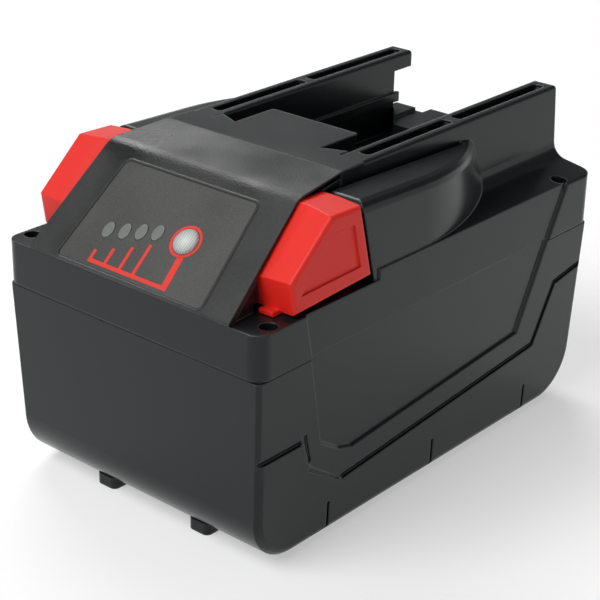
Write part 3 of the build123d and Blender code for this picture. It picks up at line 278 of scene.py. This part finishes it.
def make_materials():
    """A material for each slot of the record, and one for the gauge's print."""
    return {
        # The housing's and the bezel's high wear shares paint highlights along their edges
        "housing": plastic("housing_black", (0.0078, 0.0106, 0.0114), roughness=0.24,
                           grain_size=0.25, grain_depth=0.005, edge_radius=0.6, wear_and_highlight=1.8,
                           shine=0.28),
        "bezel": plastic("bezel_grained", (0.0090, 0.0098, 0.0100), roughness=0.42,
                         grain_size=0.45, grain_depth=0.18, edge_radius=0.5, wear_and_highlight=1.2,
                         spread=0.6),
        "label": plastic("label_film", (0.050, 0.050, 0.048), roughness=0.5,
                         grain_size=0.3, grain_depth=0.04, edge_radius=0.1, wear_and_highlight=0.1,
                         spread=0.35),
        "lens": plastic("lens_grey", (0.17, 0.18, 0.17), roughness=0.3,
                        grain_size=0.5, grain_depth=0.004, edge_radius=0.25, wear_and_highlight=0.1),
        # The dome's pale middle is a painted highlight and its grey edge colour a painted
        # shade
        "gauge_button": domed("button_dome", (0.62, 0.63, 0.62), rim_shade=(0.20, 0.205, 0.2),
                              roughness=0.5),
        "button_red": plastic("moulded_red", (0.78, 0.020, 0.012), roughness=0.42,
                              grain_size=0.3, grain_depth=0.008, edge_radius=0.5, wear_and_highlight=0.12,
                              spread=0.05, shine=0.3),
        "inner_plastic": plastic("inner_grey", (0.022, 0.022, 0.023), roughness=0.55,
                                 grain_size=0.4, grain_depth=0.02, edge_radius=0.2),
        "terminal_plastic": plastic("terminal_black", (0.012, 0.012, 0.013), roughness=0.5,
                                    grain_size=0.4, grain_depth=0.02, edge_radius=0.2),
        "cell_sleeve": plastic("cell_sleeve_blue", (0.03, 0.10, 0.24), roughness=0.3,
                               grain_size=0.8, grain_depth=0.01, edge_radius=0.3),
        "nickel": metal("nickel_strip", (0.55, 0.53, 0.49), roughness=0.3, brushed=0.6),
        "insulator": plastic("insulating_paper", (0.47, 0.39, 0.23), roughness=0.75,
                             grain_size=0.5, grain_depth=0.03, edge_radius=0.1),
        "circuit_board": plastic("circuit_board_green", (0.006, 0.07, 0.03), roughness=0.35,
                                 grain_size=0.6, grain_depth=0.01, edge_radius=0.1),
        "component": plastic("component_black", (0.01, 0.01, 0.01), roughness=0.5,
                             grain_size=0.3, grain_depth=0.02, edge_radius=0.1),
        "contact_metal": metal("contact_plated", (0.72, 0.55, 0.28), roughness=0.28),
        "steel": metal("screw_steel", (0.20, 0.20, 0.20), roughness=0.38),
        "print_red": plastic("print_coral", (0.72, 0.035, 0.022), roughness=0.5,
                             grain_size=0.25, grain_depth=0.01, edge_radius=0.05, wear_and_highlight=0.0,
                             spread=0.08, shine=0.3),
    }


def dress_nodes(materials):
    """Give each CAD node the material of its slot in the record."""
    slots = {part["node"]: part["material_slot"] for part in frame["record"]["subparts"]}
    for name, piece in frame["nodes"].items():
        material = materials[slots[name]]
        for index in range(len(piece.material_slots)):
            piece.material_slots[index].material = material
        if not piece.material_slots:
            piece.data.materials.append(material)


def add_object(name, mesh, material):
    """Put a mesh into the scene as an object with one material."""
    data = bpy.data.meshes.new(name)
    mesh.to_mesh(data)
    mesh.free()
    data.materials.append(material)
    piece = bpy.data.objects.new(name, data)
    bpy.context.scene.collection.objects.link(piece)
    return piece


# Printed scale on the gauge label
def label_frame():
    """The label's top surface: its foot, its direction up the slope and its normal."""
    low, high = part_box("gauge_label")
    up = Vector((0, math.cos(SLOPE_ANGLE), math.sin(SLOPE_ANGLE)))
    normal = Vector((0, -math.sin(SLOPE_ANGLE), math.cos(SLOPE_ANGLE)))
    foot = Vector(((low[0] + high[0]) / 2, low[1], high[2] - LABEL_LENGTH * MM * up.z))
    return foot, up, normal


def on_label(x, s, height=0.0):
    """A point in the scene, from its place on the label and its height over it."""
    foot, up, normal = label_frame()
    return foot + Vector((x * MM, 0, 0)) + up * (s * MM) + normal * (height * MM)


def raised(mesh, outline):
    """A thin printed area with an edge, from its outline on the label."""
    top = [mesh.verts.new(on_label(x, s, PRINT_HEIGHT)) for x, s in outline]
    base = [mesh.verts.new(on_label(x, s, 0.0)) for x, s in outline]
    mesh.faces.new(top)
    for i in range(len(outline)):
        j = (i + 1) % len(outline)
        mesh.faces.new((base[i], base[j], top[j], top[i]))


def ring(mesh, centre, inner, outer):
    """A thin printed ring with edges, round a centre on the label."""
    spins = [2 * math.pi * i / RING_STEPS for i in range(RING_STEPS)]
    profile = ((outer, 0.0), (outer, PRINT_HEIGHT), (inner, PRINT_HEIGHT), (inner, 0.0))
    loops = []
    for radius, height in profile:
        loops.append([mesh.verts.new(on_label(centre[0] + radius * math.cos(a),
                                              centre[1] + radius * math.sin(a), height))
                      for a in spins])
    for near, far in zip(loops, loops[1:]):
        for i in range(RING_STEPS):
            j = (i + 1) % RING_STEPS
            mesh.faces.new((near[i], near[j], far[j], far[i]))


def make_scale(material):
    """The red scale: a base line, four ticks, and a stem that leads to the ring."""
    mesh = bmesh.new()
    (x0, x1), (s0, s1) = BASE_LINE["x"], BASE_LINE["s"]
    raised(mesh, [(x0, s0), (x1, s0), (x1, s1), (x0, s1)])
    half = TICK_WIDTH / 2
    for x, top in TICKS:
        lean = (top - s1) * TICK_LEAN
        raised(mesh, [(x - half, s1), (x + half, s1),
                      (x + half + lean, top), (x - half + lean, top)])
    raised(mesh, STEM)
    ring(mesh, RING_CENTRE, *RING_RADII)
    piece = add_object("gauge_scale", mesh, material)
    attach(piece, "pack")


# Studio and camera
def seen_directly(tree):
    """The floor's lift, for what the camera sees by itself, in gloss or through glass."""
    path = tree.nodes.new("ShaderNodeLightPath")
    either = arithmetic(tree, "MAXIMUM", path.outputs["Is Camera Ray"],
                        path.outputs["Is Glossy Ray"])
    any_of_them = arithmetic(tree, "MAXIMUM", either, path.outputs["Is Transmission Ray"])
    return arithmetic(tree, "MULTIPLY", any_of_them, FLOOR_LIFT)


def make_floor():
    """A pale floor that looks white to the camera and still keeps the part's shadow."""
    mesh = bmesh.new()
    corners = [(-1, -1), (1, -1), (1, 1), (-1, 1)]
    mesh.faces.new([mesh.verts.new((x * FLOOR_HALF, y * FLOOR_HALF, 0)) for x, y in corners])
    material, tree, shader = new_material("floor_pale", FLOOR_COLOUR, FLOOR_ROUGHNESS)
    set_inputs(shader, {"Specular IOR Level": 0.0, "Emission Color": WHITE})
    tree.links.new(seen_directly(tree), shader.inputs["Emission Strength"])
    floor = add_object("floor", mesh, material)


def make_world():
    """A white backdrop all round that fades into a dim ceiling."""
    world = bpy.data.worlds.new("studio")
    bpy.context.scene.world = world
    world.use_nodes = True
    tree = world.node_tree
    background = tree.nodes["Background"]
    background.inputs["Color"].default_value = WHITE
    place = tree.nodes.new("ShaderNodeTexCoord")
    split = tree.nodes.new("ShaderNodeSeparateXYZ")
    tree.links.new(place.outputs["Generated"], split.inputs["Vector"])
    strength = mapped(tree, split.outputs["Z"], BACKDROP_RISE,
                      (BACKDROP_STRENGTH, CEILING_STRENGTH))
    tree.links.new(strength, background.inputs["Strength"])


def make_lamp(name, place, size, power):
    """A square area lamp that points at the part."""
    data = bpy.data.lights.new(name, "AREA")
    data.shape = "SQUARE"
    data.size = size
    data.energy = power
    lamp = bpy.data.objects.new(name, data)
    lamp.location = place
    lamp.rotation_mode = "QUATERNION"
    aim = LAMP_AIM - Vector(place)
    lamp.rotation_quaternion = aim.to_track_quat("-Z", "Y")
    bpy.context.scene.collection.objects.link(lamp)


def make_camera():
    """The camera, turned round its target by azimuth, elevation and roll."""
    azimuth, elevation = math.radians(CAMERA_AZIMUTH), math.radians(CAMERA_ELEVATION)
    back = Vector((math.sin(azimuth) * math.cos(elevation),
                   -math.cos(azimuth) * math.cos(elevation), math.sin(elevation)))
    right = Vector((math.cos(azimuth), math.sin(azimuth), 0))
    up = back.cross(right)
    level = Matrix((right, up, back)).transposed()
    turn = level @ Matrix.Rotation(math.radians(CAMERA_ROLL), 3, "Z")
    data = bpy.data.cameras.new("camera")
    data.sensor_width = SENSOR_WIDTH
    data.lens = CAMERA_LENS
    data.clip_start = CLIP_START
    camera = bpy.data.objects.new("camera", data)
    camera.location = CAMERA_TARGET + back * CAMERA_DISTANCE
    camera.rotation_mode = "QUATERNION"
    camera.rotation_quaternion = turn.to_quaternion()
    bpy.context.scene.collection.objects.link(camera)
    bpy.context.scene.camera = camera


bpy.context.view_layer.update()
materials = make_materials()
dress_nodes(materials)
make_scale(materials["print_red"])
make_floor()
make_world()
for lamp_name, lamp in LAMPS.items():
    make_lamp(lamp_name, **lamp)
make_camera()
bpy.context.scene.view_settings.view_transform = "Standard"
